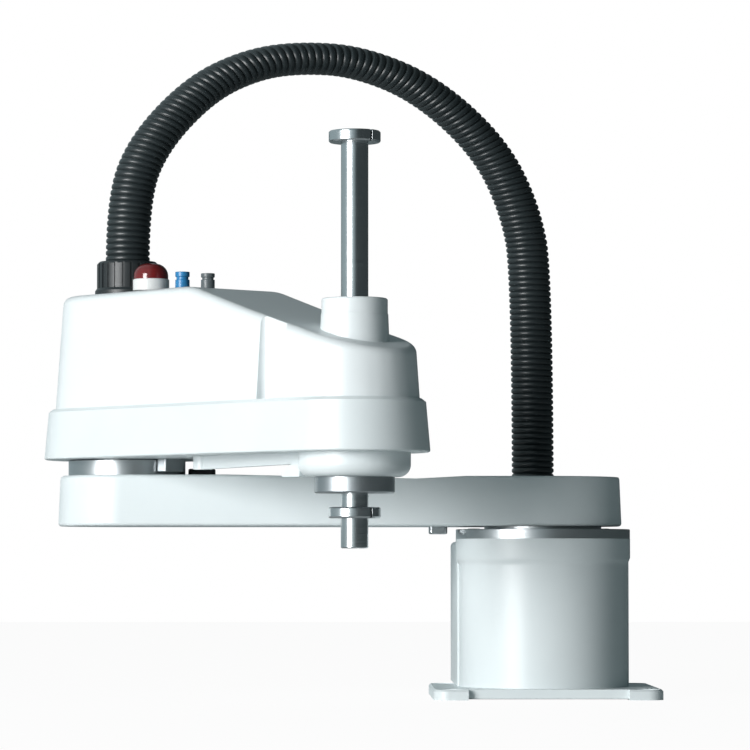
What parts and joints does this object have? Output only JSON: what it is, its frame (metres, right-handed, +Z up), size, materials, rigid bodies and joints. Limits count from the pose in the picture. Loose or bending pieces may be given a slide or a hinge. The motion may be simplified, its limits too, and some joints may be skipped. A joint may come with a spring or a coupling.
{
  "type": "scara robot",
  "caption": "Bench-mounted assembly robot: two arms that swing level, a hollow shaft that lifts and rolls at the end, and a ridged conduit that arches from the base to the second arm.",
  "frame": {"origin": "on the first joint's axis, at the foot's underside", "axes": "+Z up along the first joint's axis; -Y the robot's front; the first arm rests along -X"},
  "size_m": [0.4768, 0.4598, 0.5264],
  "materials": {
    "white_paint": "white powder coat on cast aluminium",
    "cover_plastic": "moulded, satin",
    "bare_steel": "turned",
    "ground_steel": "ground and polished",
    "aluminium": "machined",
    "black_rubber": "matte",
    "dark_motor": "black enamel",
    "black_plastic": "satin",
    "lamp_white": "glossy",
    "lamp_red": "glossy, tinted",
    "blue_plastic": "satin",
    "grey_plastic": "satin",
    "conduit_grey": "satin"
  },
  "bodies": {
    "base": {"base_casting": "white_paint", "rear_panel": "white_paint", "power_connector": "black_plastic", "signal_connector": "black_plastic", "user_connector": "black_plastic", "base_air_ports": "black_plastic", "j1_bearing_ring": "bare_steel", "j1_reducer": "bare_steel", "j1_motor": "dark_motor", "j1_stop_pins": "bare_steel", "base_gland": "conduit_grey", "conduit_rear": "conduit_grey"},
    "arm_1": {"arm_1_casting": "white_paint", "j1_output_flange": "bare_steel", "j1_stop_lug": "bare_steel", "j2_stopper": "black_rubber", "j2_bearing_ring": "bare_steel", "j2_reducer": "bare_steel"},
    "arm_2": {"arm_2_casting": "white_paint", "j2_output_flange": "bare_steel", "j2_motor": "dark_motor", "j2_stop_block": "bare_steel", "under_arm_rail": "white_paint", "motor_deck": "aluminium", "z_motor": "dark_motor", "roll_motor": "dark_motor", "z_belt": "black_rubber", "roll_belt": "black_rubber", "spline_nut_bearing": "bare_steel", "screw_nut_bearing": "bare_steel", "seal_disc": "aluminium", "arm_2_cover": "cover_plastic", "quill_cap": "cover_plastic", "arm_gland": "conduit_grey", "lamp_gasket": "black_rubber", "lamp_base": "lamp_white", "lamp_dome": "lamp_red", "blue_air_port": "blue_plastic", "grey_air_port": "grey_plastic", "conduit_front": "conduit_grey"},
    "roll_nut": {"spline_nut": "bare_steel", "spline_pulley": "aluminium"},
    "lift_nut": {"screw_nut": "bare_steel", "screw_pulley": "aluminium"},
    "lift_motor_rotor": {"z_motor_pulley": "aluminium"},
    "roll_motor_rotor": {"roll_motor_pulley": "aluminium"},
    "quill_shaft": {"shaft": "ground_steel", "upper_collar": "ground_steel", "lower_collar": "ground_steel"}
  },
  "joints": [
    {"name": "j1_swing", "type": "hinge", "parent": "base", "child": "arm_1", "pos_m": [0, 0, 0.15], "axis": [0, 0, 1], "range_deg": [-42, 222], "deforming": ["conduit_rear"]},
    {"name": "j2_swing", "type": "hinge", "parent": "arm_1", "child": "arm_2", "pos_m": [-0.325, 0, 0.18], "axis": [0, 0, 1], "range_deg": [-265, 5], "deforming": ["conduit_front"]},
    {"name": "j4_roll", "type": "hinge", "parent": "arm_2", "child": "roll_nut", "pos_m": [-0.14823, -0.21066, 0.19], "axis": [0, 0, 1], "range_deg": [-360, 360]},
    {"name": "j3_lift", "type": "slide", "parent": "roll_nut", "child": "quill_shaft", "axis": [0, 0, -1], "range_m": [-0.008, 0.11]},
    {"name": "lift_nut_spin", "type": "hinge", "parent": "arm_2", "child": "lift_nut", "pos_m": [-0.14823, -0.21066, 0.22], "axis": [0, 0, 1], "range_deg": [-200, 2650]},
    {"name": "lift_motor_spin", "type": "hinge", "parent": "arm_2", "child": "lift_motor_rotor", "pos_m": [-0.28041, -0.08659, 0.21], "axis": [0, 0, 1], "range_deg": [-400, 5300]},
    {"name": "roll_motor_spin", "type": "hinge", "parent": "arm_2", "child": "roll_motor_rotor", "pos_m": [-0.24746, -0.05895, 0.2], "axis": [0, 0, 1], "range_deg": [-720, 720]}
  ],
  "couplings": [
    {"joint": "lift_nut_spin", "follows": "j3_lift", "rad_per_m": 418.88},
    {"joint": "lift_motor_spin", "follows": "j3_lift", "rad_per_m": 837.76},
    {"joint": "roll_motor_spin", "follows": "j4_roll", "ratio": 2}
  ]
}
